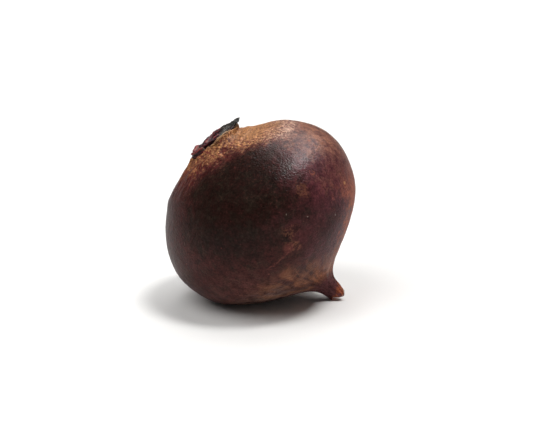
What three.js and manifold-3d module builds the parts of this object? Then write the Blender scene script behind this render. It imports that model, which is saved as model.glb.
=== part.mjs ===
// A beetroot as it comes from the field, with its leaves cut off close to the crown. It lies on its cheek and
// on the tip of its taproot, as a beetroot settles on a table. Millimetres, +Z up, origin on the table under
// the middle of the bounding box. The crown is at the upper left (-X), the taproot at the lower right (+X).
import * as THREE from "three";
import { mergeVertices } from "three/addons/utils/BufferGeometryUtils.js";
import Module from "manifold-3d";

const wasm = await Module();
wasm.setup();

// Driving sizes of the root. "Along" is the distance from the crown's rim towards the end of the taproot.
const BODY_RADIUS = 37.2;
const WIDEST_ALONG = 29;
const TAIL_ALONG = 63;
const END_ALONG = 72.4;
const NECK_RADIUS = 11.15;
const TAIL_RADIUS = 3.5;
const END_RADIUS = 3.1;
const DISH_DEPTH = 1.7;

// How the root lies: the crown's lean above the table, and how deep the flat spots are cut where it touches.
const LEAN_DEG = 51;
const FLAT_DEPTH = 0.35;
const CHEEK_REACH = 35;

// The crown and the taproot stand off the body's middle line, towards the side that lies uppermost, and the
// lower body is bowed the other way. The neck is deeper on the uppermost side, and slimmer below.
const CROWN_SHIFT = 3.8;
const CROWN_SHIFT_REACH = 1.7;
const NECK_DIP = 1.9;
const NECK_DIP_ALONG = 5.8;
const NECK_DIP_REACH = 2.6;
const NECK_SLIM = 0.25;
const NECK_SLIM_REACH = 1.5;
const BOW = 1.2;
const BOW_START = 20;
const TAIL_SHIFT = 3.1;
const TAIL_SHIFT_START = 57;
const SHOULDER_SHIFT = 0.35;
const SHOULDER_ALONG = 20;
const SHOULDER_REACH = 8;

// How far the skin rises and falls as it goes round: lobes of the body, rings and pleats of the neck with the
// lumps of its rim, and furrows of the foot.
const LOBE_HEIGHT = 0.45;
const RING_HEIGHT = 0.16;
const RING_SPACING = 2.1;
const PLEAT_HEIGHT = 0.24;
const PLEAT_COUNT = 9;
const RIM_LUMP_HEIGHT = 0.4;
const FURROW_HEIGHT = 0.3;
const FURROW_COUNT = 6;
const SPLINTER_HEIGHT = 0.45;
const PRONG_HALF_ANGLE = 0.5;
const NOTCH_DEPTH = 1.3;
const NOTCH_ANGLE = 2;
const NOTCH_HALF_ANGLE = 0.45;

// The rim of the crown is nicked where the tallest stalk leans out over it.
const NICK_DROP = 1.3;
const NICK_INWARD = 1.3;
const NICK_HALF_ANGLE = 0.6;
const NICK_REACH = 4.5;

// Facets: steps round the root, and steps between two points of its flank.
const ROUND_STEPS = 72;
const FLANK_STEPS = 3;

// Cut leaf stalks, in the plant's own frame with the crown's rim at height 0.
const STALK_COUNT = 13;
const STALK_SEED = 7;
const STALK_GAP = 0.3;
const STALK_RING = 9.7;
const STALK_HEIGHT = 1.1;
const STALK_THICKNESS = 1.7;
const STALK_EDGE = 0.7;
const STALK_ROUNDING = 0.25;
const STALK_FOOT = -0.3;
const STALK_LEAN = 0.5;
const CUT_SLANT = 0.55;
const CUT_SCATTER = 0.4;
const CUT_ROUGHNESS = 0.14;
const INNER_HALF_ANGLE = 1;
const OUTER_HALF_ANGLE = 0.42;
const TALL_STALK_RING = 9.4;
const TALL_STALK_HEIGHT = 0.7;
const TALL_STALK_THICKNESS = 3.8;
const TALL_STALK_FOOT = -0.85;
const TALL_STALK_FLARE = 2.3;
const ARC_STEPS = 10;
const STALK_STEPS = 3;
const GOLDEN_TURN = Math.PI * (3 - Math.sqrt(5));

// Half the outline as [radius, along]: the dish of the crown, the flank from its rim to the break, the break.
const CROWN_DISH = [
  [0, DISH_DEPTH],
  [NECK_RADIUS * 0.35, DISH_DEPTH],
  [NECK_RADIUS * 0.7, DISH_DEPTH * 0.88],
  [NECK_RADIUS - 0.5, 0.3],
];
const FLANK = [
  [NECK_RADIUS, 0],
  [NECK_RADIUS + 0.9, 1.1],
  [NECK_RADIUS + 4.3, 3.2],
  [20.7, 6],
  [27.1, 10.2],
  [31.8, 15.2],
  [35.6, 21.6],
  [BODY_RADIUS, WIDEST_ALONG],
  [36, 37],
  [32.6, 44.5],
  [25.3, 51.7],
  [17.2, 57.2],
  [10.1, 61.2],
  [6.3, TAIL_ALONG + 0.8],
  [TAIL_RADIUS + 0.9, TAIL_ALONG + 3],
  [TAIL_RADIUS, TAIL_ALONG + 5.5],
  [END_RADIUS, END_ALONG],
];
const BREAK = [
  [END_RADIUS * 0.72, END_ALONG - 0.7],
  [END_RADIUS * 0.4, END_ALONG - 1.1],
  [0, END_ALONG - 1],
];

// The disc that the stalks grow from, as [radius, height]: it lies in the dish with a hair's gap under it.
const HEART = [
  [0, STALK_GAP - DISH_DEPTH],
  [NECK_RADIUS * 0.35, STALK_GAP - DISH_DEPTH],
  [NECK_RADIUS * 0.7 - 0.15, STALK_GAP - DISH_DEPTH * 0.88],
  [NECK_RADIUS - 1.2, -0.1],
  [NECK_RADIUS - 1.7, 0.2],
  [NECK_RADIUS * 0.55, 0.6],
  [0, 0.75],
];

// A repeatable stream of numbers from 0 to 1.
function seeded(seed) {
  let state = seed >>> 0;
  return () => {
    state = (Math.imul(state, 1664525) + 1013904223) >>> 0;
    return state / 4294967296;
  };
}

// 0 up to low, 1 from high, and a smooth rise between them.
function rise(low, high, value) {
  return THREE.MathUtils.smoothstep(value, low, high);
}

// A closed three.js geometry as a manifold-3d solid.
function solidOf(geometry) {
  const bare = geometry.clone();
  bare.deleteAttribute("normal");
  bare.deleteAttribute("uv");
  const merged = mergeVertices(bare, 1e-4);
  return new wasm.Manifold(
    new wasm.Mesh({
      numProp: 3,
      vertProperties: merged.attributes.position.array,
      triVerts: new Uint32Array(merged.index.array),
    }),
  );
}

// A manifold-3d solid as a three.js geometry.
function geometryOf(solid) {
  const mesh = solid.getMesh();
  const geometry = new THREE.BufferGeometry();
  geometry.setAttribute("position", new THREE.BufferAttribute(mesh.vertProperties, 3));
  geometry.setIndex(new THREE.BufferAttribute(mesh.triVerts, 1));
  geometry.computeVertexNormals();
  return geometry;
}

// Moves each vertex of a geometry to where the formula puts it.
function reshape(geometry, formula) {
  const position = geometry.getAttribute("position");
  const vertex = new THREE.Vector3();
  for (let i = 0; i < position.count; i += 1) {
    vertex.fromBufferAttribute(position, i);
    formula(vertex);
    position.setXYZ(i, vertex.x, vertex.y, vertex.z);
  }
  return geometry;
}

// A turned shape from [radius, height] points that run from the bottom up.
function turned(outline) {
  const points = outline.map(([radius, height]) => new THREE.Vector2(radius, height));
  return new THREE.LatheGeometry(points, ROUND_STEPS).rotateX(Math.PI / 2);
}

// How far the middle of the root stands off the body's middle line at a distance along it.
function shiftAt(along) {
  const crown = CROWN_SHIFT * Math.exp(-((Math.max(along, 0) / CROWN_SHIFT_REACH) ** 2));
  const dip = NECK_DIP * Math.exp(-(((along - NECK_DIP_ALONG) / NECK_DIP_REACH) ** 2));
  const bow = BOW * rise(BOW_START, TAIL_ALONG, along);
  const shoulder = SHOULDER_SHIFT * Math.exp(-(((along - SHOULDER_ALONG) / SHOULDER_REACH) ** 2));
  return crown - dip - bow + shoulder + TAIL_SHIFT * rise(TAIL_SHIFT_START, END_ALONG - 1, along);
}

// The root is not quite round: broad lobes on the body, the rings of old leaf scars round the neck, and
// furrows that run down into the taproot. The angle is 0 on the side that lies uppermost.
function reliefAt(along, angle) {
  const body = LOBE_HEIGHT * Math.sin(Math.PI * THREE.MathUtils.clamp(along / TAIL_ALONG, 0, 1));
  const lobes = Math.sin(2 * angle) + 0.7 * Math.sin(3 * angle) + 0.35 * Math.sin(5 * angle);
  const neck = rise(0.4, 2, along) * (1 - rise(4, 9, along));
  const rings = RING_HEIGHT * Math.cos((2 * Math.PI * along) / RING_SPACING + 0.9 * Math.sin(2 * angle));
  const pleats = PLEAT_HEIGHT * Math.sin(PLEAT_COUNT * angle + 0.8 * Math.sin(3 * angle));
  const foot = FURROW_HEIGHT * rise(46, 60, along) * (1 - rise(END_ALONG - 3, END_ALONG, along));
  const fineFurrows = 0.5 * Math.sin(2 * FURROW_COUNT * angle + 1.4);
  const furrows = Math.sin(FURROW_COUNT * angle + 0.05 * along) + fineFurrows;
  const below = ((1 - Math.cos(angle)) / 2) ** 4;
  const slim = NECK_SLIM * below * Math.exp(-(((along - NECK_DIP_ALONG) / NECK_SLIM_REACH) ** 2));
  return body * lobes + neck * (rings + pleats) + foot * furrows - slim;
}

// The rim of the crown stands up in lumps between the stalks, most on the side towards the viewer.
function lumpAt(along, radius, angle) {
  const nearRim = rise(NECK_RADIUS * 0.85, NECK_RADIUS - 0.3, radius) * (1 - rise(0.8, 3, along));
  const lumps = Math.sin(7 * angle + 0.6) + 0.6 * Math.sin(12 * angle - 0.8);
  return RIM_LUMP_HEIGHT * nearRim * (0.4 + lumps * (0.7 + 0.3 * Math.sin(angle)));
}

// The torn end is longest above, towards the viewer, with splinters round its rim, a prong below and a
// notch on each side of the prong.
function tearAt(along, angle) {
  const nearEnd = rise(END_ALONG - 1.6, END_ALONG - 0.2, along);
  const slant = Math.sin(angle) + Math.sin(2 * angle);
  const prong = Math.exp(-(((Math.PI - Math.abs(angle)) / PRONG_HALF_ANGLE) ** 2));
  const notch = NOTCH_DEPTH * Math.exp(-(((Math.abs(angle) - NOTCH_ANGLE) / NOTCH_HALF_ANGLE) ** 2));
  return nearEnd * (SPLINTER_HEIGHT * (slant + 0.4 * Math.cos(6 * angle - 5.2) + prong) - notch);
}

// How much of the nick in the rim there is at a point of the crown or the neck.
function nickAt(along, radius, angle) {
  const acrossNick = Math.exp(-((angle / NICK_HALF_ANGLE) ** 2));
  return acrossNick * rise(NECK_RADIUS * 0.7, NECK_RADIUS - 0.5, radius) * (1 - rise(0.5, NICK_REACH, along));
}

// Puts a point of the round outline where the real root has it.
function growRoot(vertex) {
  const radius = Math.hypot(vertex.x, vertex.y);
  const angle = Math.atan2(-vertex.y, vertex.x);
  const along = -vertex.z;
  if (radius < 1e-6) {
    vertex.x = shiftAt(along < WIDEST_ALONG ? 0 : along);
    return;
  }
  const inCrown = along < WIDEST_ALONG && radius < NECK_RADIUS;
  const fade = along > WIDEST_ALONG ? Math.min(1, radius / TAIL_RADIUS) : rise(0, NECK_RADIUS * 0.5, radius);
  const nick = along < WIDEST_ALONG ? nickAt(along, radius, angle) : 0;
  const lump = along < WIDEST_ALONG ? lumpAt(along, radius, angle) * (1 - nick) : 0;
  const grown = radius + fade * reliefAt(along, angle) - NICK_INWARD * nick;
  vertex.set(
    shiftAt(inCrown ? 0 : along) + grown * Math.cos(angle),
    -grown * Math.sin(angle),
    lump - (along + tearAt(along, angle) + NICK_DROP * nick),
  );
}

function flankPoints() {
  const curve = new THREE.CatmullRomCurve3(
    FLANK.map(([radius, along]) => new THREE.Vector3(radius, along, 0)),
    false,
    "centripetal",
  );
  return curve.getPoints((FLANK.length - 1) * FLANK_STEPS).map((p) => [p.x, p.y]);
}

function makeRoot() {
  const outline = [...CROWN_DISH, ...flankPoints(), ...BREAK].reverse();
  const geometry = turned(outline.map(([radius, along]) => [radius, -along]));
  return solidOf(reshape(geometry, growRoot));
}

// One cut leaf stalk: a block bent into a crescent, open towards the middle of the crown, with a ragged top.
function makeStalk({ turn, ring, halfAngle, thickness, foot, height, lean, slope, phase }) {
  const block = new THREE.BoxGeometry(2, 1, 1, ARC_STEPS, STALK_STEPS, STALK_STEPS);
  return solidOf(
    reshape(block, (vertex) => {
      const share = vertex.x;
      const inward = vertex.y + 0.5;
      const up = vertex.z + 0.5;
      const depth = STALK_EDGE + (thickness - STALK_EDGE) * Math.cos((Math.PI / 2) * share);
      const radius = ring - depth * inward + lean * up * up;
      const angle = turn + halfAngle * share;
      const rounded = STALK_ROUNDING * (Math.sin(Math.PI * inward) - share * share);
      const ragged = CUT_ROUGHNESS * (Math.sin(9 * angle + phase) + 0.6 * Math.sin(3 * radius + 17 * angle));
      vertex.set(
        CROWN_SHIFT + radius * Math.cos(angle),
        radius * Math.sin(angle),
        foot + up * (height - foot + rounded + ragged + slope * depth * (inward - 0.5)),
      );
    }),
  );
}

// The stalks stand on the heart in a spiral, the oldest and widest outermost, and hold together as one piece.
function makeStalks() {
  const random = seeded(STALK_SEED);
  const heart = solidOf(turned(HEART).translate(CROWN_SHIFT, 0, 0));
  const stalks = Array.from({ length: STALK_COUNT }, (_, i) => {
    const share = Math.sqrt((i + 0.6) / STALK_COUNT);
    const turn = (i - STALK_COUNT) * GOLDEN_TURN;
    return makeStalk({
      turn,
      ring: STALK_RING * share,
      halfAngle: THREE.MathUtils.lerp(INNER_HALF_ANGLE, OUTER_HALF_ANGLE, share),
      thickness: STALK_THICKNESS * THREE.MathUtils.lerp(0.6, 1, share),
      foot: STALK_FOOT,
      height: STALK_HEIGHT * (0.85 + CUT_SCATTER * random() - CUT_SLANT * share * Math.cos(turn)),
      lean: STALK_LEAN * share,
      slope: 0.3 * (random() - 0.5),
      phase: 6 * random(),
    });
  });
  const tall = makeStalk({
    turn: 0,
    ring: TALL_STALK_RING,
    halfAngle: OUTER_HALF_ANGLE,
    thickness: TALL_STALK_THICKNESS,
    foot: TALL_STALK_FOOT,
    height: TALL_STALK_HEIGHT,
    lean: TALL_STALK_FLARE,
    slope: 0.2,
    phase: 1,
  });
  return wasm.Manifold.union([heart, ...stalks, tall]);
}

const skin = new THREE.MeshStandardMaterial({ color: 0x4a2b2a, roughness: 0.55, metalness: 0 });
const cutStalk = new THREE.MeshStandardMaterial({ color: 0x351118, roughness: 0.5, metalness: 0 });

// Both pieces are tipped over as they lie. The table planes a flat spot onto the cheek, and takes off what
// would reach below it at the taproot's torn end.
const tip = THREE.MathUtils.degToRad(LEAN_DEG - 90);
const lie = new THREE.Matrix4().makeRotationY(tip);
const lyingRoot = makeRoot().transform(lie.elements);
const cheek = lyingRoot.trimByPlane([-1, 0, 0], -CHEEK_REACH).boundingBox();
const table = cheek.min[2] + FLAT_DEPTH;
const rootGeometry = geometryOf(lyingRoot.trimByPlane([0, 0, 1], table));
const stalkGeometry = geometryOf(makeStalks().transform(lie.elements));

const whole = new THREE.Group();
whole.name = "beetroot";
const root = new THREE.Mesh(rootGeometry, skin);
root.name = "root";
const leafStalks = new THREE.Mesh(stalkGeometry, cutStalk);
leafStalks.name = "leaf_stalks";
whole.add(root, leafStalks);

const box = new THREE.Box3().setFromObject(whole, true);
for (const mesh of [root, leafStalks]) {
  mesh.geometry.translate(-(box.min.x + box.max.x) / 2, -(box.min.y + box.max.y) / 2, -box.min.z);
}

export default whole;
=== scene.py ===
import math

import bpy
import numpy as np
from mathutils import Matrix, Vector, noise


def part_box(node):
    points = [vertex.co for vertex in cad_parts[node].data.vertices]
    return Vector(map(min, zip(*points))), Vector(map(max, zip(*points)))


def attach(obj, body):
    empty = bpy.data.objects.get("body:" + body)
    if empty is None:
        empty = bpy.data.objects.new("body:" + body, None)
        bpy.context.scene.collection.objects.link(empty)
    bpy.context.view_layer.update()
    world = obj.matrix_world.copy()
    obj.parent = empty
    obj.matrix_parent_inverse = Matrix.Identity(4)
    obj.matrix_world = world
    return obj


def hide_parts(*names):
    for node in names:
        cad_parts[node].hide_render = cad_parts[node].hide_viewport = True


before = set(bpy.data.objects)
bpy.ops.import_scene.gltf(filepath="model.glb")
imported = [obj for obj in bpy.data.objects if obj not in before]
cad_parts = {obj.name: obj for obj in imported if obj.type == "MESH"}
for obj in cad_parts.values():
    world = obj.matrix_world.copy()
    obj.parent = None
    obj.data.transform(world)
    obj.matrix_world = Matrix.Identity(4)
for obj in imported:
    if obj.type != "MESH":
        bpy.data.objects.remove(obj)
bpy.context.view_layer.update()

bl_info = {
    "name": "Beetroot",
    "version": (1, 0, 0),
    "blender": (4, 5, 0),
    "location": "3D View > Sidebar > Beetroot",
    "description": "Grows the skin and the cut leaf stalks of a beetroot over its packed solids",
    "category": "Add Mesh",
}

MM = 0.001

# The plant's own frame, in millimetres: the crown's rim is at height 0 and the taproot points down.
# Along is the distance below the rim.
# The angle round the plant is 0 on the side that lies uppermost, and opens towards -Y.
WIDEST_ALONG = 29
TAIL_ALONG = 63
END_ALONG = 72.4
TAIL_RADIUS = 3.5
END_RADIUS = 3.1
DISH_DEPTH = 1.7
CROWN_SHIFT = 3.8
CROWN_SHIFT_REACH = 1.7
NECK_DIP = 1.9
NECK_DIP_ALONG = 5.8
NECK_DIP_REACH = 2.6
NECK_SLIM = 0.25
NECK_SLIM_REACH = 1.5
BOW = 1.2
BOW_START = 20
TAIL_SHIFT = 3.1
TAIL_SHIFT_START = 57
SHOULDER_SHIFT = 0.35
SHOULDER_ALONG = 20
SHOULDER_REACH = 8
LOBE_HEIGHT = 0.45
RING_HEIGHT = 0.16
RING_SPACING = 2.1
PLEAT_HEIGHT = 0.24
PLEAT_COUNT = 9
RIM_LUMP_HEIGHT = 0.4
FURROW_HEIGHT = 0.3
FURROW_COUNT = 6
SPLINTER_HEIGHT = 0.45
PRONG_HALF_ANGLE = 0.5
NOTCH_DEPTH = 1.3
NOTCH_ANGLE = 2
NOTCH_HALF_ANGLE = 0.45
NICK_DROP = 1.3
NICK_INWARD = 1.3
NICK_HALF_ANGLE = 0.6
NICK_REACH = 4.5
STALK_COUNT = 13
STALK_GAP = 0.3
STALK_EDGE = 0.7
STALK_THICKNESS = 1.7
STALK_FOOT = -0.3
STALK_LEAN = 0.5
STALK_HEIGHT_SCATTER = 0.4
STALK_HEIGHT_TILT = 0.55
STALK_SLOPE_SCATTER = 0.3
INNER_HALF_ANGLE = 1
OUTER_HALF_ANGLE = 0.42
GOLDEN_TURN = math.pi * (3 - math.sqrt(5))

# The tallest stalk, which leans out over the nick, and the dry scale beside it.
TALL_STALK = {
    "turn": 0, "ring": 9.4, "half_angle": OUTER_HALF_ANGLE, "thickness": 3.8, "foot": -0.85, "height": 0.7,
    "lean": 2.3, "slope": 0.2, "phase": 1,
}
TALL_SCALE = {
    "turn": -1.13, "ring": 10.2, "half_angle": 0.2, "thickness": 0.8, "foot": -0.6, "height": 0.75,
    "lean": 0.6, "slope": 0, "phase": 2,
}

# The small dry scales along the rim, which leave an angle free on each side of the tallest stalk.
SCALE_COUNT = 16
SCALE_FREE_ANGLE = 0.7
SCALE_OUTWARD = 0.35
SCALE_THICKNESS = 0.5
SCALE_FOOT = -0.6

# How fine the meshes are: millimetres along an outline, and steps round it or along a side of a stalk.
SKIN_SPACING = 0.5
SKIN_STEPS = 360
HEART_SPACING = 0.4
HEART_STEPS = 200
STALK_STEPS = (30, 8, 6)

# Fine detail that the solids don't carry, in millimetres.
SKIN_INSET = 0.06
GRAIN_SPACING = 2.2
HEART_BUMP = 0.35
HEART_DIP = 0.2
TOP_ROUNDING = 0.25
TOP_RAGGEDNESS = 0.14
TOP_TEARING = 0.12
FIBRE_DEPTH = 0.05

# How much of that detail the crown's dish has, and how the noise of the hollows and furrows is stretched.
DISH_SHARE = 0.3
HOLLOW_STRETCH = (5, 5, 0.35)
FURROW_STRETCH = (7, 7, 0.1)

# Zones of the root's outline.
DISH, FLANK, TORN = 0, 1, 2

# What the material of the stalks reads at each of their points.
STALK_LOOKS = ("top", "edge", "grey", "pale", "papery", "tone", "tip")

# Marks lie at a distance along the root in millimetres and an angle round it in degrees.
# Dark cheeks, partly the skin's own near-black and partly painted shade: along, angle, where they begin to
# fade, where they end, strength.
DARK_CHEEKS_AND_SHADE = ((16, 90, 13, 27, 1), (24, -118, 12, 28, 1), (44, 50, 0, 12, 0.5), (31, 63, 0, 11, 0.6))
# Threaded scars: along, angle, reach.
THREADED_SCARS = ((41, 78, 4), (27.5, 57, 5), (36, 75, 4), (33, 45, 4))
# Ring scars: along, angle, radius, width of the line, colour, strength.
RING_SCARS = (
    (41.2, 77, 1.3, 0.8, "streak", 0.3),
    (27.5, 57, 1.6, 1.1, "streak", 0.22),
    (25.8, 46, 0.8, 0.4, "torn", 0.4),
)
# Dots: along, angle, radius, colour, strength.
DOTS = (
    (40, 81, 2.5, "fleck", 0.3),
    (47, 92, 3, "streak", 0.15),
    (18.8, 28, 0.9, "torn", 0.5),
    (37.4, 29, 0.8, "cork", 0.9),
    (30, 72, 0.35, "pale", 0.4),
    (35.9, 63, 0.35, "pale", 0.4),
    (42.7, 46, 0.4, "pale", 0.5),
    (43.4, 100, 0.45, "fleck", 0.9),
    (13.8, 150, 0.8, "dark_skin_and_shade", 0.9),
)
# The scratch: along and angle of both ends.
SCRATCH_ENDS = ((40.9, 81), (41.4, 98))
SPECK_SPACING = 6

# The stage: the side that each lamp shines from, and how wide it looks in degrees.
KEY_LAMP = (-0.45, -0.35, 0.82), 45
TOP_LAMP = (0.29, -0.1, 0.95), 16
BACK_LAMP = (0.12, 0.45, 0.88), 45
TOP_GLOSS_LAMP = (0.37, -0.07, 0.92), 16
SIDE_GLOSS_LAMP = (0.42, 0.2, 0.88), 36
SIDE_GLOSS_SHARE = 0.9

# The camera: its lens and sensor, the point it looks at and how far it sees, in millimetres.
LENS = 85
SENSOR_WIDTH = 36
AIM = (5.32, -0.88, 29.71)
FARTHEST_SEEN = 20000
FLOOR_REACH = 4000


def srgb(code):
    """A linear colour from a screen colour such as 0x4a2b2a."""
    parts = [((code >> shift) & 255) / 255 for shift in (16, 8, 0)]
    return tuple(c / 12.92 if c <= 0.04045 else ((c + 0.055) / 1.055) ** 2.4 for c in parts)


def size_property(name, description, millimetres):
    return bpy.props.FloatProperty(
        name=name, description=description, default=millimetres * MM, min=0, precision=4,
        subtype="DISTANCE", unit="LENGTH",
    )


def colour_property(name, description, code):
    return bpy.props.FloatVectorProperty(
        name=name, description=description, default=srgb(code), size=3, min=0, max=1, subtype="COLOR",
    )


class BeetrootSizes(bpy.types.PropertyGroup):
    body_radius: size_property("Body radius", "Half the width of the root at its widest", 37.2)
    neck_radius: size_property("Neck radius", "Half the width of the crown's rim", 11.15)
    skin_grain: size_property("Skin grain", "Depth of the fine grain of the skin", 0.05)
    neck_wrinkle: size_property("Neck wrinkle", "Depth of the rings and wrinkles round the neck", 0.3)
    foot_furrow: size_property("Foot furrow", "Depth of the fine furrows that run into the taproot", 0.22)
    stalk_ring: size_property("Stalk ring", "Distance of the outermost stalks from the crown's middle", 9.7)
    stalk_height: size_property("Stalk height", "Height of the cut stalks above the rim", 1.1)
    lean: bpy.props.FloatProperty(
        name="Lean", description="Angle of the crown's axis above the table", default=math.radians(51),
        subtype="ANGLE", unit="ROTATION",
    )


class BeetrootColours(bpy.types.PropertyGroup):
    # This near-black is partly the skin's own colour and partly painted shade on the cheek that faces -Y.
    dark_skin_and_shade: colour_property("Dark skin", "Nearly black skin of both cheeks", 0x1c0f0c)
    skin_maroon: colour_property("Maroon skin", "The lower half of the body", 0x391c1a)
    skin_purple: colour_property("Purple skin", "The side towards the uppermost side", 0x50282e)
    skin_brown: colour_property("Brown skin", "The uppermost side", 0x9c6c56)
    ridge: colour_property("Ridge", "Orange brown skin of the uppermost side near the taproot", 0x94523c)
    cork: colour_property("Cork", "Tan corky skin round the neck", 0xb27e52)
    beige: colour_property("Beige", "Pinkish corky skin further out on the uppermost side", 0xbc9884)
    cork_red: colour_property("Cork speckle", "Red speckles in the corky skin", 0x5c2426)
    streak: colour_property("Streak", "Tan streaks that run down to the taproot", 0x9a6448)
    tail: colour_property("Tail", "The taproot", 0x5a3536)
    torn: colour_property("Torn flesh", "The torn end of the taproot", 0xa85a3a)
    olive: colour_property("Olive patches", "Small greyish patches all over the skin", 0x3a3228)
    fleck: colour_property("Flecks", "Fine reddish flecks all over the skin", 0x8a4a44)
    pale: colour_property("Pale dots", "Small pale dots in the skin", 0xb9a79c)
    stalk: colour_property("Stalk", "Dark maroon sides of the cut stalks", 0x2c1116)
    stalk_cut: colour_property("Cut face", "Dried faces of the cut stalks", 0x8f2f36)
    scale: colour_property("Dry scale", "Yellowish scales between the stalks and the rim", 0xb08a60)
    stalk_grey: colour_property("Dry stalk", "The tallest stalk, dried grey", 0x3d3932)


class BeetrootStage(bpy.types.PropertyGroup):
    floor: colour_property("Floor", "Plain pale floor", 0xf2f1ef)
    elevation: bpy.props.FloatProperty(
        name="Camera elevation", description="Angle of the camera above the table", default=math.radians(14),
        subtype="ANGLE", unit="ROTATION",
    )
    distance: size_property("Camera distance", "Distance of the camera from the beetroot", 464.3)
    key_strength: bpy.props.FloatProperty(
        name="Key light", description="Strength of the soft light at the upper left", default=1.5, min=0,
    )
    back_strength: bpy.props.FloatProperty(
        name="Back light", description="Strength of the large softbox behind and above", default=1.1, min=0,
    )
    top_strength: bpy.props.FloatProperty(
        name="Top light", description="Strength of the softbox overhead", default=1.7, min=0,
    )
    gloss: bpy.props.FloatProperty(
        name="Gloss", description="Strength of the lights that only the gloss shows, over their plain twins",
        default=1.8, min=0,
    )
    room_strength: bpy.props.FloatProperty(
        name="Room light", description="Strength of the plain light of the room", default=0.1, min=0,
    )


# Shape

def rise(low, high, value):
    """0 up to low, 1 from high, and a smooth rise between them."""
    share = np.clip((np.asarray(value, float) - low) / (high - low), 0, 1)
    return share * share * (3 - 2 * share)


def shift_at(along):
    """How far the middle of the root lies off the plant's axis, towards the uppermost side."""
    crown = CROWN_SHIFT * np.exp(-((np.maximum(along, 0) / CROWN_SHIFT_REACH) ** 2))
    dip = NECK_DIP * np.exp(-(((along - NECK_DIP_ALONG) / NECK_DIP_REACH) ** 2))
    bow = BOW * rise(BOW_START, TAIL_ALONG, along)
    shoulder = SHOULDER_SHIFT * np.exp(-(((along - SHOULDER_ALONG) / SHOULDER_REACH) ** 2))
    return crown - dip - bow + shoulder + TAIL_SHIFT * rise(TAIL_SHIFT_START, END_ALONG - 1, along)


def relief_at(along, angle):
    """Lobes, neck rings, pleats and foot furrows, added to the radius."""
    body = LOBE_HEIGHT * np.sin(np.pi * np.clip(along / TAIL_ALONG, 0, 1))
    lobes = np.sin(2 * angle) + 0.7 * np.sin(3 * angle) + 0.35 * np.sin(5 * angle)
    neck = rise(0.4, 2, along) * (1 - rise(4, 9, along))
    rings = RING_HEIGHT * np.cos(2 * np.pi * along / RING_SPACING + 0.9 * np.sin(2 * angle))
    pleats = PLEAT_HEIGHT * np.sin(PLEAT_COUNT * angle + 0.8 * np.sin(3 * angle))
    foot = FURROW_HEIGHT * rise(46, 60, along) * (1 - rise(END_ALONG - 3, END_ALONG, along))
    fine_furrows = 0.5 * np.sin(2 * FURROW_COUNT * angle + 1.4)
    furrows = np.sin(FURROW_COUNT * angle + 0.05 * along) + fine_furrows
    below = ((1 - np.cos(angle)) / 2) ** 4
    slim = NECK_SLIM * below * np.exp(-(((along - NECK_DIP_ALONG) / NECK_SLIM_REACH) ** 2))
    return body * lobes + neck * (rings + pleats) + foot * furrows - slim


def lump_at(along, radius, angle, neck):
    """How high the lumps of the crown's rim rise."""
    near_rim = rise(neck * 0.85, neck - 0.3, radius) * (1 - rise(0.8, 3, along))
    lumps = np.sin(7 * angle + 0.6) + 0.6 * np.sin(12 * angle - 0.8)
    return RIM_LUMP_HEIGHT * near_rim * (0.4 + lumps * (0.7 + 0.3 * np.sin(angle)))


def tear_at(along, angle):
    """How much longer the splinters and the prong make the torn end, and how much shorter its notches."""
    near_end = rise(END_ALONG - 1.6, END_ALONG - 0.2, along)
    slant = np.sin(angle) + np.sin(2 * angle)
    prong = np.exp(-(((np.pi - np.abs(angle)) / PRONG_HALF_ANGLE) ** 2))
    notch = NOTCH_DEPTH * np.exp(-(((np.abs(angle) - NOTCH_ANGLE) / NOTCH_HALF_ANGLE) ** 2))
    return near_end * (SPLINTER_HEIGHT * (slant + 0.4 * np.cos(6 * angle - 5.2) + prong) - notch)


def nick_at(along, radius, angle, neck):
    """1 in the middle of the nick that the tallest stalk leans over, and 0 away from it."""
    across = np.exp(-((angle / NICK_HALF_ANGLE) ** 2))
    return across * rise(neck * 0.7, neck - 0.5, radius) * (1 - rise(0.5, NICK_REACH, along))


def curve_through(points, spacing):
    """A centripetal curve through [radius, along] points, at about even steps."""
    points = np.asarray(points, float)
    ends = np.vstack([2 * points[0] - points[1], points, 2 * points[-1] - points[-2]])
    samples = []
    for p0, p1, p2, p3 in zip(ends, ends[1:], ends[2:], ends[3:]):
        d0, d1, d2 = (np.linalg.norm(b - a) ** 0.5 for a, b in ((p0, p1), (p1, p2), (p2, p3)))
        t1 = ((p1 - p0) / d0 - (p2 - p0) / (d0 + d1) + (p2 - p1) / d1) * d1
        t2 = ((p2 - p1) / d1 - (p3 - p1) / (d1 + d2) + (p3 - p2) / d2) * d1
        steps = max(2, int(np.ceil(np.linalg.norm(p2 - p1) / spacing)))
        w = (np.arange(steps) / steps)[:, None]
        samples.append(p1 + t1 * w + (3 * (p2 - p1) - 2 * t1 - t2) * w**2 + (2 * (p1 - p2) + t1 + t2) * w**3)
    return np.vstack(samples + [points[-1:]])


def straight_through(points, spacing):
    """Straight lines through the points, at about even steps."""
    points = np.asarray(points, float)
    samples = []
    for a, b in zip(points, points[1:]):
        steps = max(2, int(np.ceil(np.linalg.norm(b - a) / spacing)))
        samples.append(a + (b - a) * (np.arange(steps) / steps)[:, None])
    return np.vstack(samples + [points[-1:]])


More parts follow.
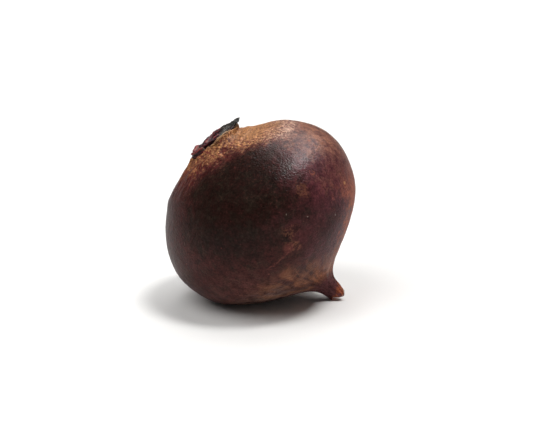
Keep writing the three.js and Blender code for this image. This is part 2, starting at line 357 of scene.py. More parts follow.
def root_outline(body, neck, spacing):
    """[radius, along] from the middle of the dish, over the rim and the flank, to the middle of the break."""
    dish = [
        [0, DISH_DEPTH], [neck * 0.35, DISH_DEPTH], [neck * 0.7, DISH_DEPTH * 0.88], [neck - 0.5, 0.3],
        [neck, 0],
    ]
    flank = [
        [neck, 0], [neck + 0.9, 1.1], [neck + 4.3, 3.2], [20.7, 6], [27.1, 10.2], [31.8, 15.2], [35.6, 21.6],
        [body, WIDEST_ALONG], [36, 37], [32.6, 44.5], [25.3, 51.7], [17.2, 57.2], [10.1, 61.2],
        [6.3, TAIL_ALONG + 0.8], [TAIL_RADIUS + 0.9, TAIL_ALONG + 3], [TAIL_RADIUS, TAIL_ALONG + 5.5],
        [END_RADIUS, END_ALONG],
    ]
    torn = [
        [END_RADIUS, END_ALONG], [END_RADIUS * 0.72, END_ALONG - 0.7], [END_RADIUS * 0.4, END_ALONG - 1.1],
        [0, END_ALONG - 1],
    ]
    parts = [
        straight_through(dish, spacing)[:-1], curve_through(flank, spacing)[:-1],
        straight_through(torn, spacing / 2),
    ]
    zone = np.concatenate([np.full(len(part), z) for part, z in zip(parts, (DISH, FLANK, TORN))])
    return np.vstack(parts), zone


def grow_root(outline, zone, angles, neck):
    """Every point of the root in the plant's frame, as [ring, step round, xyz]."""
    radius = outline[:, :1] + 0 * angles
    along = outline[:, 1:] + 0 * angles
    angle = angles + 0 * radius
    crown_side = along < WIDEST_ALONG
    fade = np.where(crown_side, rise(0, neck * 0.5, radius), np.minimum(1, radius / TAIL_RADIUS))
    nick = np.where(crown_side, nick_at(along, radius, angle, neck), 0)
    grown = np.where(radius > 1e-6, radius + fade * relief_at(along, angle) - NICK_INWARD * nick, 0)
    shift = shift_at(np.where(zone[:, None] == DISH, 0, along))
    lump = np.where(crown_side, lump_at(along, radius, angle, neck) * (1 - nick), 0)
    drop = np.where(radius > 1e-6, tear_at(along, angle) + NICK_DROP * nick - lump, 0)
    return np.stack([shift + grown * np.cos(angle), -grown * np.sin(angle), -(along + drop)], axis=2)


def lay_down(points, lean):
    """From the plant's frame to the lying pose, still about the middle of the crown's rim."""
    tip = lean - math.pi / 2
    x, y, z = points[..., 0], points[..., 1], points[..., 2]
    lying_x = x * math.cos(tip) + z * math.sin(tip)
    lying_z = -x * math.sin(tip) + z * math.cos(tip)
    return np.stack([lying_x, y, lying_z], axis=-1)


def resting_place(lying):
    """Where the rim is, in millimetres in the row frame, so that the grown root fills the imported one."""
    low, high = (np.array(corner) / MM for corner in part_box("root"))
    least, most = lying.reshape(-1, 3).min(0), lying.reshape(-1, 3).max(0)
    place = (low + high) / 2 - (least + most) / 2
    place[2] = high[2] - most[2]
    return place


def normals_of(grid):
    """The outward normal at each point of a grid that closes round its second axis."""
    across = np.roll(grid, -1, axis=1) - np.roll(grid, 1, axis=1)
    down = np.gradient(grid, axis=0)
    normal = np.cross(across, down)
    length = np.linalg.norm(normal, axis=2, keepdims=True)
    return normal / np.maximum(length, 1e-9)


def rough(points, wavelength, octaves=3, seed=0):
    """Soft noise between about -1 and 1 at each point, with the given wavelength in millimetres."""
    flat = points.reshape(-1, 3) / wavelength + seed
    values = [noise.fractal(Vector(p), 0.8, 2.1, octaves) for p in flat]
    return np.array(values).reshape(points.shape[:-1])


def lattice_faces(rings, steps):
    """The quads between each ring of points and the next."""
    ring, step = np.meshgrid(np.arange(rings - 1), np.arange(steps), indexing="ij")
    this, below, beside = ring * steps, (ring + 1) * steps, (step + 1) % steps
    return np.stack([this + step, this + beside, below + beside, below + step], 2).reshape(-1, 4)


def grow_and_lay(sizes, spacing, steps):
    """The root's outline, its zones, the angles round it, and its points laid down."""
    neck = sizes.neck_radius / MM
    outline, zone = root_outline(sizes.body_radius / MM, neck, spacing)
    angles = np.linspace(-np.pi, np.pi, steps, endpoint=False)[None, :]
    return outline, zone, angles, lay_down(grow_root(outline, zone, angles, neck), sizes.lean)


def new_mesh(name, points, faces, attributes):
    """A smooth object from points in millimetres, with a value or vector of each attribute at each point."""
    mesh = bpy.data.meshes.new(name)
    mesh.from_pydata((np.asarray(points) * MM).tolist(), [], [list(map(int, face)) for face in faces])
    for label, values in attributes.items():
        values = np.asarray(values, np.float32)
        kind, field = ("FLOAT_VECTOR", "vector") if values.ndim == 2 else ("FLOAT", "value")
        mesh.attributes.new(label, kind, "POINT").data.foreach_set(field, values.ravel())
    mesh.polygons.foreach_set("use_smooth", [True] * len(mesh.polygons))
    mesh.update()
    piece = bpy.data.objects.new(name, mesh)
    bpy.context.scene.collection.objects.link(piece)
    return piece


# Shader maths

class Wire:
    """A socket of a material, so that shader maths reads as Python."""

    def __init__(self, bench, socket):
        self.bench = bench
        self.socket = socket

    def maths(self, operation, one, other):
        return self.bench.node("ShaderNodeMath", {"operation": operation}, {0: one, 1: other})

    def __add__(self, other):
        return self.maths("ADD", self, other)

    def __radd__(self, other):
        return self.maths("ADD", other, self)

    def __sub__(self, other):
        return self.maths("SUBTRACT", self, other)

    def __rsub__(self, other):
        return self.maths("SUBTRACT", other, self)

    def __mul__(self, other):
        return self.maths("MULTIPLY", self, other)

    def __rmul__(self, other):
        return self.maths("MULTIPLY", other, self)

    def rise(self, low, high):
        """0 up to low, 1 from high, and a smooth rise between them."""
        ends = {"Value": self, "From Min": low, "From Max": high}
        return self.bench.node("ShaderNodeMapRange", {"interpolation_type": "SMOOTHSTEP"}, ends)

    def fall(self, low, high):
        """1 up to low, 0 from high, and a smooth fall between them."""
        return 1 - self.rise(low, high)


class Bench:
    """Where a material is put together."""

    def __init__(self, name):
        self.material = bpy.data.materials.new(name)
        self.material.use_nodes = True
        self.tree = self.material.node_tree
        self.tree.nodes.clear()

    def node(self, kind, settings=None, sockets=None, out=0):
        """Adds a node: its settings are set first, then the values or links of its sockets."""
        made = self.tree.nodes.new(kind)
        for key, value in (settings or {}).items():
            setattr(made, key, value)
        for key, value in (sockets or {}).items():
            socket = made.inputs[key]
            if isinstance(value, Wire):
                self.tree.links.new(value.socket, socket)
            elif hasattr(value, "__len__") and socket.type == "RGBA" and len(value) == 3:
                socket.default_value = (*value, 1)
            else:
                socket.default_value = value
        return None if out is None else Wire(self, made.outputs[out])

    def mix(self, one, other, factor):
        """One colour with a share of the other over it."""
        sockets = {"Factor": factor, 6: one, 7: other}
        return self.node("ShaderNodeMix", {"data_type": "RGBA"}, sockets, out=2)

    def vectors(self, operation, *values, out=0):
        return self.node("ShaderNodeVectorMath", {"operation": operation}, dict(enumerate(values)), out)

    def tint(self, colour, factor):
        """The colour made lighter or darker by a factor that may pass 1."""
        shade = self.node("ShaderNodeCombineXYZ", sockets={0: factor, 1: factor, 2: factor})
        return self.vectors("MULTIPLY", colour, shade)

    def distance(self, vector, point):
        """How far a point is, in millimetres, where both are in metres."""
        return self.vectors("DISTANCE", vector, point, out="Value") * (1 / MM)

    def noise(self, vector, shift, wavelength, detail, roughness):
        """Noise between 0 and 1 that is taken a shift away, so that no two noises are alike."""
        sockets = {
            "Vector": self.vectors("ADD", vector, shift), "Scale": 1 / wavelength, "Detail": detail,
            "Roughness": roughness,
        }
        return self.node("ShaderNodeTexNoise", {}, sockets)

    def wander(self, metres, place, wavelength, reach):
        """The place in metres, moved about by noise, so that a mark drawn there has an uneven edge."""
        colour = self.node("ShaderNodeTexNoise", {}, {"Vector": place, "Scale": 1 / wavelength}, out="Color")
        centred = self.vectors("ADD", colour, (-0.5, -0.5, -0.5))
        return self.vectors("ADD", metres, self.vectors("MULTIPLY", centred, (reach * MM,) * 3))

    def attribute(self, name, out="Fac"):
        return self.node("ShaderNodeAttribute", {"attribute_name": name}, out=out)

    def bump(self, height, distance, strength, under=None):
        """A normal bent by a height whose distance is in millimetres, over another bump if there is one."""
        sockets = {"Height": height, "Distance": distance * MM, "Strength": strength}
        if under is not None:
            sockets["Normal"] = under
        return self.node("ShaderNodeBump", {}, sockets)

    def finish(self, colour, roughness, normal, **constants):
        sockets = {"Base Color": colour, "Roughness": roughness, "Normal": normal}
        sockets.update({key.replace("_", " "): value for key, value in constants.items()})
        shader = self.node("ShaderNodeBsdfPrincipled", {}, sockets, out="BSDF")
        self.node("ShaderNodeOutputMaterial", sockets={"Surface": shader}, out=None)
        return self.material


class SkinBench(Bench):
    """The bench of the root's skin, with the places and noises that all of its layers share.

    Distances are in millimetres: along is the distance below the crown's rim, and upper is 1 on the
    uppermost side of the root and -1 on the lowermost.
    """

    def __init__(self, name, colours, spot):
        super().__init__(name)
        self.colours = colours
        self.spot = spot
        self.metres = self.node("ShaderNodeTexCoord", out="Object")
        self.place = self.vectors("MULTIPLY", self.metres, (1 / MM,) * 3)
        self.along = self.attribute("along")
        around = self.attribute("around", "Vector")
        self.upper = self.node("ShaderNodeSeparateXYZ", sockets={0: around})
        self.broad = self.noise(self.place, (0, 0, 0), 22, 3, 0.55)
        self.middling = self.noise(self.place, (31, 7, 3), 7, 4, 0.6)
        self.patches = self.noise(self.place, (17, 5, 60), 3, 5, 0.7)
        self.fine = self.noise(self.place, (5, 71, 9), 1.5, 4, 0.65)
        self.grain = self.noise(self.place, (3, 9, 41), 0.7, 2, 0.6)
        self.crisp = self.noise(self.place, (41, 8, 2), 0.55, 1, 0.5)
        self.streaks = self.noise(self.vectors("MULTIPLY", around, (9, 9, 0.12)), (0, 0, 0), 1, 4, 0.6)
        self.blotchy = self.broad * 0.6 + (self.middling - 0.5) * 0.9 + (self.patches - 0.5) * 0.7 + 0.2
        self.worn = self.upper + (self.blotchy - 0.5) * 0.5 + (self.fine - 0.5) * 0.3
        self.ridge = (self.worn + (self.streaks - 0.5) * 0.6).rise(0.7, 0.96) * self.along.rise(30, 44)
        neck_reach = 1.6 + self.upper.rise(-0.3, 0.5) * 1.4 + self.upper.rise(0.45, 1) * 10.2
        self.past_cork = self.along - neck_reach - (self.middling - 0.5) * 6 - (self.fine - 0.5) * 6
        self.cork = self.past_cork.fall(-2, 2.5)

    def body(self):
        """Maroon below, purple and then brown towards the uppermost side, with nearly black cheeks that are
        partly painted shade.
        """
        colours = self.colours
        purple = (self.upper + self.blotchy * 0.5 - 0.25).rise(0.1, 0.75) * self.along.rise(8, 24)
        base = self.mix(colours.skin_maroon, colours.skin_purple, purple)
        uneven = (self.broad - 0.5) * 14 + (self.middling - 0.5) * 18 + (self.patches - 0.5) * 14
        # Nearly black cheeks: the skin's own dark colour, and painted shade on the side that faces -Y.
        for along, degrees, near, far, strength in DARK_CHEEKS_AND_SHADE:
            away = self.distance(self.metres, self.spot(along, degrees)) + uneven * (far / 28)
            base = self.mix(base, colours.dark_skin_and_shade, away.fall(near, far) * strength)
        hue = self.noise(self.place, (90, 20, 7), 4, 6, 0.8)
        base = self.mix(base, colours.olive, hue.rise(0.45, 0.65) * 0.3)
        base = self.mix(base, colours.fleck, hue.fall(0.35, 0.55) * 0.04)
        uneven_brown = 0.35 + self.patches.rise(0.35, 0.6) * 0.65
        brown = self.worn.rise(0.68, 1.08) * self.along.fall(18, 42) * uneven_brown
        base = self.mix(base, colours.skin_brown, brown * 0.9)
        return self.mix(base, colours.ridge, self.ridge * (0.55 + self.patches * 0.6))

    def with_cork(self, base):
        """Tan cork round the neck, furthest out on the uppermost side, with red speckles at its edge."""
        colours = self.colours
        edge = self.past_cork
        speckle = self.noise(self.place, (11, 2, 90), 0.9, 3, 0.7)
        base = self.mix(base, colours.cork_red, edge.fall(0, 5) * speckle.rise(0.42, 0.55) * 0.55)
        base = self.mix(base, colours.skin_brown, edge.fall(0, 6) * speckle.fall(0.36, 0.46) * 0.6)
        further_out = self.upper.rise(0.5, 0.85) * (self.along + (self.patches - 0.5) * 8).rise(6, 13)
        corky = self.mix(colours.cork, colours.beige, further_out)
        corky = self.mix(corky, colours.cork_red, speckle.rise(0.46, 0.56) * edge.rise(-11, -2) * 0.85)
        corky = self.tint(corky, 0.17 + self.fine * 0.9 + self.grain - self.upper.rise(-0.8, 0.5) * 0.2)
        base = self.mix(base, corky, self.cork)
        return self.mix(base, colours.cork_red, self.attribute("hollow") * 0.35)

    def with_foot(self, base):
        """Tan streaks down the foot into the taproot, which is dark again, and orange where it is torn, over
        an underside that is painted lighter as bounce light from the floor.
        """
        colours = self.colours
        # Painted bounce light and sheen from the floor: the underside towards the foot is lightened with
        # reddish flecks and pale in patches.
        below = self.upper.fall(-0.7, 0) * self.along.rise(30, 46) * self.patches.rise(0.3, 0.6)
        base = self.mix(base, colours.fleck, below * 0.16)
        base = self.mix(base, colours.pale, below * (0.04 + self.along.rise(44, 54) * 0.3))
        foot = (self.along - self.upper.rise(-0.1, 0.6) * 9).rise(42, 54) * self.along.fall(61, 66)
        streaked = (self.streaks * 0.7 + self.middling * 0.5 + self.upper * 0.1).rise(0.47, 0.74) * foot
        base = self.mix(base, colours.streak, streaked * (0.45 + self.patches * 0.7))
        base = self.mix(base, colours.tail, self.along.rise(61, 65) * 0.9)
        torn = self.mix(colours.torn, colours.tail, (self.streaks + self.fine - 1).rise(-0.1, 0.2))
        torn = self.tint(torn, 0.3 + self.fine * 1.2)
        tear = (self.along + self.middling * 3 + (self.fine - 0.5) * 5 + self.upper * 1.8).rise(71.2, 72.8)
        base = self.mix(base, torn, tear)
        base = self.mix(base, torn, self.attribute("broken") * 0.9)
        rim = (self.along + self.upper + (self.fine - 0.5)).rise(72.4, 72.9)
        return self.mix(base, colours.pale, rim * 0.6)

    def with_mottling(self, base):
        """Fine flecks, lighter and darker mottling, and a few specks."""
        flecks = self.noise(self.place, (70, 3, 8), 0.8, 5, 0.75).rise(0.52, 0.75)
        where = (0.09 + self.upper.rise(-0.2, 0.8) * 0.3) * self.patches.rise(0.3, 0.6)
        base = self.mix(base, self.colours.fleck, flecks * where)
        mottled = self.patches * 1.1 + self.fine * 0.8 + self.grain * 1.7
        crackled = self.crisp * (0.9 + self.cork * 0.3)
        base = self.tint(base, mottled + crackled - 1.29 - self.cork * 0.15)
        cells = self.node("ShaderNodeTexVoronoi", {}, {"Vector": self.place, "Scale": 1 / SPECK_SPACING})
        return self.mix(base, self.colours.fleck, cells.fall(0.025, 0.05) * self.broad.rise(0.45, 0.6) * 0.5)

    def with_marks(self, base):
        """Threads, rings and dots where small roots grew, and a scratch."""
        uneven = self.wander(self.metres, self.place, 1.2, 2)
        threads = self.patches.rise(0.46, 0.5) * self.patches.fall(0.5, 0.54) * self.grain.rise(0.35, 0.55)
        for along, degrees, reach in THREADED_SCARS:
            away = self.distance(self.metres, self.spot(along, degrees)) + (self.middling - 0.5) * 6
            base = self.mix(base, self.colours.streak, threads * away.fall(reach * 0.3, reach) * 0.3)
        for along, degrees, radius, width, colour, strength in RING_SCARS:
            away = self.distance(uneven, self.spot(along, degrees))
            ring = away.rise(radius - width, radius) * away.fall(radius, radius + width)
            base = self.mix(base, getattr(self.colours, colour), ring * strength * self.fine.rise(0.4, 0.55))
        for along, degrees, radius, colour, strength in DOTS:
            away = self.distance(uneven, self.spot(along, degrees))
            dot = away.fall(radius * 0.4, radius * 1.1) * strength * self.fine.rise(0.3, 0.5)
            base = self.mix(base, getattr(self.colours, colour), dot)
        start, end = (Vector(self.spot(*place)) for place in SCRATCH_ENDS)
        middle = (start + end) / 2
        half = (end - start).length / MM / 2
        from_middle = self.vectors("SUBTRACT", uneven, middle)
        across = self.vectors("CROSS_PRODUCT", from_middle, (end - start).normalized())
        off_line = self.vectors("LENGTH", across, out="Value") * (1 / MM)
        on_scratch = off_line.fall(0.15, 0.5) * self.distance(self.metres, middle).fall(half - 1, half + 1)
        return self.mix(base, self.colours.fleck, on_scratch * 0.3)


def skin_material(colours, spot):
    skin = SkinBench("beet skin", colours, spot)
    base = skin.with_marks(skin.with_mottling(skin.with_foot(skin.with_cork(skin.body()))))
    dry = skin.along.rise(22, 45) * 0.12 + skin.upper.fall(-0.7, 0) * 0.1 + skin.ridge * 0.15
    roughness = 0.22 + skin.fine * 0.16 + skin.cork * 0.22 + (skin.broad - 0.5) * 0.15 + dry
    pebbled = skin.bump(skin.grain * 0.6 + skin.crisp * 0.8 + skin.fine * 0.15, 0.26, 0.5)
    wavy = skin.bump(skin.middling, 0.6, 0.3, pebbled)
    return skin.finish(base, roughness, wavy, IOR=1.4, Specular_IOR_Level=0.1)


def stalk_material(colours):
    bench = Bench("cut stalk")
    metres = bench.node("ShaderNodeTexCoord", out="Object")
    place = bench.vectors("MULTIPLY", metres, (1 / MM,) * 3)
    top, edge, dried, painted_highlight_line, papery, tone, tip = (bench.attribute(name) for name in STALK_LOOKS)
    fine = bench.noise(place, (0, 0, 0), 0.6, 4, 0.65)
    patchy = bench.noise(place, (9, 1, 5), 2.2, 4, 0.65)
    face = bench.mix(colours.stalk, colours.stalk_cut, (patchy + tone * 0.3).rise(0.5, 0.8) * 0.5)
    base = bench.mix(colours.stalk, face, top)
    base = bench.mix(base, colours.stalk_cut, edge * fine.rise(0.35, 0.6) * patchy.rise(0.42, 0.58))
    scaly = bench.mix(colours.scale, colours.cork_red, patchy.rise(0.45, 0.65) * 0.6)
    base = bench.mix(base, scaly, papery)
    base = bench.mix(base, scaly, (patchy + tone * 0.1).rise(0.62, 0.75) * 0.4)
    grey = bench.tint(colours.stalk_grey, (1 - tip * 0.7) * (patchy.fall(0.35, 0.65) * 0.8 + 0.2))
    base = bench.mix(base, grey, dried)
    # The pale line on the dried stalk is a painted highlight.
    base = bench.mix(base, colours.pale, painted_highlight_line * fine.rise(0.3, 0.55))
    base = bench.tint(base, 0.4 + fine * 1.2)
    rough_cut = bench.bump(fine, 0.5, 0.7)
    return bench.finish(base, 0.4 + fine * 0.3, rough_cut, IOR=1.4, Specular_IOR_Level=0.3)


# Pieces

def place_on_skin(flank, neck, along, degrees, lean, place):
    """The point of the skin at a distance along the root and an angle round it, in metres."""
    radius = np.interp(along, flank[:, 1], flank[:, 0])
    point = grow_root(np.array([[radius, along]]), np.array([FLANK]), np.radians([[degrees]]), neck)
    return tuple((lay_down(point, lean) + place)[0, 0] * MM)


def wrinkle(sizes, points, zone, along, around):
    """How deep the skin lies below the smooth root at each point, and how far the point is in a hollow."""
    neck_skin = rise(-0.2, 0.6, along) * (1 - rise(2.5, 8, along)) * (zone == FLANK)
    foot_skin = rise(42, 56, along) * (1 - rise(END_ALONG - 2, END_ALONG, along)) * (zone == FLANK)
    pleats = 1 - np.abs(rough(around * HOLLOW_STRETCH, 1, 3, 5))
    hollow = neck_skin * np.clip(1.5 * pleats - 0.6, 0, 1)
    furrow = foot_skin * (0.5 + 0.5 * rough(around * FURROW_STRETCH, 1, 4, 3))
    depth = SKIN_INSET + sizes.skin_grain / MM * (1 + rough(points, GRAIN_SPACING))
    depth = depth + sizes.neck_wrinkle / MM * hollow + sizes.foot_furrow / MM * furrow
    return depth * np.where(zone == DISH, DISH_SHARE, 1), hollow


class BEETROOT_OT_root(bpy.types.Operator):
    """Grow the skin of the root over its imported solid"""

    bl_idname = "beetroot.root"
    bl_label = "Root"

    def execute(self, context):
        sizes = context.scene.beetroot_sizes
        outline, zone, angles, lying = grow_and_lay(sizes, SKIN_SPACING, SKIN_STEPS)
        place = resting_place(lying)
        points = lying + place
        flank = outline[zone == FLANK]
        zone = zone[:, None]
        along = outline[:, 1:] + 0 * angles
        around = np.stack([np.cos(angles) + 0 * along, np.sin(angles) + 0 * along, along], axis=2)
        depth, hollow = wrinkle(sizes, points, zone, along, around)
        points = points - normals_of(points) * depth[..., None]
        points[..., 2] = np.maximum(points[..., 2], 0)

        broken = (zone == TORN) + 0 * along
        piece = new_mesh(
            "root_skin", points.reshape(-1, 3), lattice_faces(*along.shape),
            {
                "along": along.ravel(), "around": around.reshape(-1, 3), "broken": broken.ravel(),
                "hollow": hollow.ravel(),
            },
        )

        def spot(along, degrees):
            return place_on_skin(flank, sizes.neck_radius / MM, along, degrees, sizes.lean, place)

        piece.data.materials.append(skin_material(context.scene.beetroot_colours, spot))
        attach(piece, "root")
        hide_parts("root")
        return {"FINISHED"}


def block_shell(nx, ny, nz):
    """The surface of a block from -1 to 1, -0.5 to 0.5 and -0.5 to 0.5, as points and outward quads."""
    index = {}
    points = []
    faces = []

    def at(i, j, k):
        key = (i, j, k)
        if key not in index:
            index[key] = len(points)
            points.append((2 * i / nx - 1, j / ny - 0.5, k / nz - 0.5))
        return index[key]

    for i in range(nx):
        for j in range(ny):
            faces.append([at(i, j, 0), at(i, j + 1, 0), at(i + 1, j + 1, 0), at(i + 1, j, 0)])
            faces.append([at(i, j, nz), at(i + 1, j, nz), at(i + 1, j + 1, nz), at(i, j + 1, nz)])
    for i in range(nx):
        for k in range(nz):
            faces.append([at(i, 0, k), at(i + 1, 0, k), at(i + 1, 0, k + 1), at(i, 0, k + 1)])
            faces.append([at(i, ny, k), at(i, ny, k + 1), at(i + 1, ny, k + 1), at(i + 1, ny, k)])
    for j in range(ny):
        for k in range(nz):
            faces.append([at(0, j, k), at(0, j, k + 1), at(0, j + 1, k + 1), at(0, j + 1, k)])
            faces.append([at(nx, j, k), at(nx, j + 1, k), at(nx, j + 1, k + 1), at(nx, j, k + 1)])
    return np.array(points), np.array(faces)


class Repeatable:
    """A repeatable stream of numbers from 0 to 1."""

    FACTOR, STEP, RANGE = 1664525, 1013904223, 2**32

    def __init__(self, seed):
        self.state = seed

    def next(self):
        self.state = (self.state * self.FACTOR + self.STEP) % self.RANGE
        return self.state / self.RANGE


def bend_stalk(block, turn, ring, half_angle, thickness, foot, height, lean, slope, phase):
    """A stalk from a block, bent round the crown and leaning outwards, with a ragged and sloping top."""
    across = block[:, 0]
    inward = block[:, 1] + 0.5
    upward = block[:, 2] + 0.5
    edge = min(STALK_EDGE, 0.5 * thickness)
    depth = edge + (thickness - edge) * np.cos(np.pi / 2 * across)
    radius = ring - depth * inward + lean * upward * upward
    angle = turn + half_angle * across
    rounded = TOP_ROUNDING * (np.sin(np.pi * inward) - across * across)
    ragged = TOP_RAGGEDNESS * (np.sin(9 * angle + phase) + 0.6 * np.sin(3 * radius + 17 * angle))
    place = np.stack([radius, angle * ring, 0 * radius], axis=1)
    torn = TOP_TEARING * (rough(place, 0.6, 3, phase) - 1)
    fibres = FIBRE_DEPTH * np.sin(angle * ring * 9 + 3 * upward + phase)
    radius = radius + fibres * (inward < 0.01)
    z = foot + upward * (height - foot + rounded + ragged + torn + slope * depth * (inward - 0.5))
    return np.stack([CROWN_SHIFT + radius * np.cos(angle), radius * np.sin(angle), z], axis=1)


def stalk_looks(block, bent, papery, phase):
    """The looks of a stalk at each of its points, in the order of STALK_LOOKS."""
    inside = 1 - np.maximum(2 * np.abs(block[:, 1]), np.abs(block[:, 0]) ** 4)
    outward = bent[:, 0] - CROWN_SHIFT
    top = rise(0.8, 1, block[:, 2] + 0.5)
    edge = top * (1 - rise(0.15, 0.4, inside))
    grey = rise(2, 4, outward) * (1 - papery)
    tip = rise(9.6, 11, outward)
    # A painted highlight: a pale line low on the dried grey stalk, below its tip.
    highlight_height = 0.35 - 0.9 * rise(6, 9, outward)
    pale = grey * (1 - tip) * np.exp(-(((bent[:, 2] - highlight_height) / 0.25) ** 2))
    tone = math.sin(5 * phase) + 0 * top
    return np.stack([top, edge, grey, pale, papery + 0 * top, tone, tip], axis=1)


def grow_heart(neck):
    """The low heart that the stalks stand on, in the plant's frame, as [ring, step round, xyz]."""
    outline = straight_through(
        [
            [0, STALK_GAP - DISH_DEPTH], [neck * 0.35, STALK_GAP - DISH_DEPTH],
            [neck * 0.7 - 0.15, STALK_GAP - DISH_DEPTH * 0.88], [neck - 1.2, -0.1], [neck - 1.7, 0.2],
            [neck * 0.55, 0.6], [0, 0.75],
        ],
        HEART_SPACING,
    )
    radius, height = outline[:, :1], outline[:, 1:]
    turns = np.linspace(-np.pi, np.pi, HEART_STEPS, endpoint=False)
    x = CROWN_SHIFT + radius * np.cos(turns)
    heart = np.stack([x, radius * np.sin(turns), height + 0 * turns], axis=2)
    bumps = HEART_BUMP * rough(heart, 1.6, 4) - HEART_DIP
    heart[..., 2] += bumps * rise(-0.1, 0.3, heart[..., 2])
    return heart


class BEETROOT_OT_leaf_stalks(bpy.types.Operator):
    """Set the cut leaf stalks in the crown"""

    bl_idname = "beetroot.leaf_stalks"
    bl_label = "Leaf stalks"

    def execute(self, context):
        sizes = context.scene.beetroot_sizes
        place = resting_place(grow_and_lay(sizes, 2 * SKIN_SPACING, SKIN_STEPS // 2)[-1])
        heart = grow_heart(sizes.neck_radius / MM)
        points = [heart.reshape(-1, 3)]
        faces = [lattice_faces(*heart.shape[:2])]
        looks = [np.zeros((len(points[0]), len(STALK_LOOKS)))]
        block, quads = block_shell(*STALK_STEPS)
        for stalk, papery in self.stalks(sizes):
            bent = bend_stalk(block, **stalk)
            faces.append(quads + sum(map(len, points)))
            points.append(bent)
            looks.append(stalk_looks(block, bent, papery, stalk["phase"]))
        lying = lay_down(np.vstack(points), sizes.lean) + place
        piece = new_mesh("cut_stalks", lying, np.vstack(faces), dict(zip(STALK_LOOKS, np.vstack(looks).T)))
        piece.data.materials.append(stalk_material(context.scene.beetroot_colours))
        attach(piece, "root")
        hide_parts("leaf_stalks")
        return {"FINISHED"}

    def stalks(self, sizes):
        """Each stalk and how papery it is: the cut stalks, the tallest one, and the dry scales at the rim."""
        random = Repeatable(7)
        ring, stalk_height = sizes.stalk_ring / MM, sizes.stalk_height / MM
        for i in range(STALK_COUNT):
            share = math.sqrt((i + 0.6) / STALK_COUNT)
            turn = (i - STALK_COUNT) * GOLDEN_TURN
            taller = STALK_HEIGHT_SCATTER * random.next() - STALK_HEIGHT_TILT * share * math.cos(turn)
            height = stalk_height * (0.85 + taller)
            slope = STALK_SLOPE_SCATTER * (random.next() - 0.5)
            half_angle = INNER_HALF_ANGLE + (OUTER_HALF_ANGLE - INNER_HALF_ANGLE) * share
            yield dict(
                turn=turn, ring=ring * share, half_angle=half_angle, foot=STALK_FOOT, height=height,
                thickness=STALK_THICKNESS * (0.6 + 0.4 * share), lean=STALK_LEAN * share, slope=slope,
                phase=6 * random.next(),
            ), 0
        yield TALL_STALK, 0
        yield TALL_SCALE, 1
        for i in range(SCALE_COUNT):
            share = (i + 0.6 * random.next()) / SCALE_COUNT
            turn = SCALE_FREE_ANGLE + 2 * (math.pi - SCALE_FREE_ANGLE) * share
            yield dict(
                turn=turn, ring=ring + SCALE_OUTWARD, thickness=SCALE_THICKNESS, foot=SCALE_FOOT,
                half_angle=0.12 + 0.14 * random.next(), height=0.1 + 0.8 * random.next(),
                lean=0.6 * random.next(), slope=0, phase=6 * random.next(),
            ), 0 if math.cos(turn) < -0.3 else 1


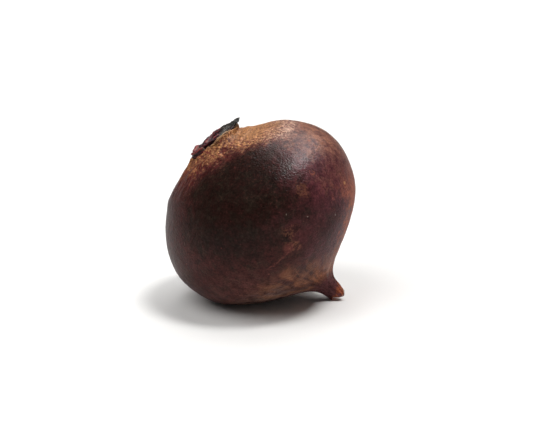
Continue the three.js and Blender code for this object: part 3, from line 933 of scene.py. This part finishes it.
class BEETROOT_OT_stage(bpy.types.Operator):
    """Set the floor, the lights and the camera"""

    bl_idname = "beetroot.stage"
    bl_label = "Stage"

    def execute(self, context):
        stage = context.scene.beetroot_stage
        self.lay_floor(stage)
        self.light_room(context, stage)
        self.set_camera(context, stage)
        return {"FINISHED"}

    def lay_floor(self, stage):
        bench = Bench("floor")
        normal = bench.node("ShaderNodeNewGeometry", out="Normal")
        corners = np.array([(-1, -1, 0), (1, -1, 0), (1, 1, 0), (-1, 1, 0)])
        floor = new_mesh("floor", corners * FLOOR_REACH, [(0, 1, 2, 3)], {})
        floor.data.materials.append(bench.finish(stage.floor, 0.9, normal, Specular_IOR_Level=0.1))

    def light_room(self, context, stage):
        world = bpy.data.worlds.new("studio")
        world.use_nodes = True
        background = world.node_tree.nodes["Background"]
        background.inputs["Color"].default_value = (1, 1, 1, 1)
        background.inputs["Strength"].default_value = stage.room_strength
        context.scene.world = world
        key = self.light(context, "key light", KEY_LAMP, stage.key_strength)
        key.visible_glossy = False
        self.light(context, "top light", TOP_LAMP, stage.top_strength)
        self.light(context, "back light", BACK_LAMP, stage.back_strength)
        for name, lamp, strength in (
            ("top gloss", TOP_GLOSS_LAMP, stage.top_strength),
            ("side gloss", SIDE_GLOSS_LAMP, stage.top_strength * SIDE_GLOSS_SHARE),
            ("back gloss", BACK_LAMP, stage.back_strength),
        ):
            gloss = self.light(context, name, lamp, strength * stage.gloss)
            gloss.visible_diffuse = False

    def light(self, context, name, lamp, strength):
        direction, width = lamp
        sun = bpy.data.lights.new(name, "SUN")
        sun.angle = math.radians(width)
        sun.energy = strength
        lit = bpy.data.objects.new(name, sun)
        lit.location = direction
        lit.rotation_euler = Vector(direction).to_track_quat("Z", "Y").to_euler()
        context.scene.collection.objects.link(lit)
        return lit

    def set_camera(self, context, stage):
        camera = bpy.data.objects.new("camera", bpy.data.cameras.new("camera"))
        camera.data.lens = LENS
        camera.data.sensor_width = SENSOR_WIDTH
        camera.data.clip_end = FARTHEST_SEEN * MM
        towards = Vector((0, -math.cos(stage.elevation), math.sin(stage.elevation)))
        camera.location = Vector(AIM) * MM + stage.distance * towards
        camera.rotation_euler = (math.pi / 2 - stage.elevation, 0, 0)
        context.scene.collection.objects.link(camera)
        context.scene.camera = camera
        context.scene.view_settings.view_transform = "Standard"


class BEETROOT_PT_panel(bpy.types.Panel):
    bl_label = "Beetroot"
    bl_idname = "BEETROOT_PT_panel"
    bl_space_type = "VIEW_3D"
    bl_region_type = "UI"
    bl_category = "Beetroot"

    def draw(self, context):
        for operator in (BEETROOT_OT_root, BEETROOT_OT_leaf_stalks, BEETROOT_OT_stage):
            self.layout.operator(operator.bl_idname)
        for group in ("beetroot_sizes", "beetroot_colours", "beetroot_stage"):
            settings = getattr(context.scene, group)
            box = self.layout.box()
            for name in settings.__annotations__:
                box.prop(settings, name)


GROUPS = {
    "beetroot_sizes": BeetrootSizes,
    "beetroot_colours": BeetrootColours,
    "beetroot_stage": BeetrootStage,
}
CLASSES = [*GROUPS.values(), BEETROOT_OT_root, BEETROOT_OT_leaf_stalks, BEETROOT_OT_stage, BEETROOT_PT_panel]


def register():
    for cls in CLASSES:
        bpy.utils.register_class(cls)
    for name, group in GROUPS.items():
        setattr(bpy.types.Scene, name, bpy.props.PointerProperty(type=group))


def unregister():
    for name in GROUPS:
        delattr(bpy.types.Scene, name)
    for cls in reversed(CLASSES):
        bpy.utils.unregister_class(cls)


def main():
    register()
    bpy.ops.beetroot.root()
    bpy.ops.beetroot.leaf_stalks()
    bpy.ops.beetroot.stage()


if __name__ == "__main__":
    main()
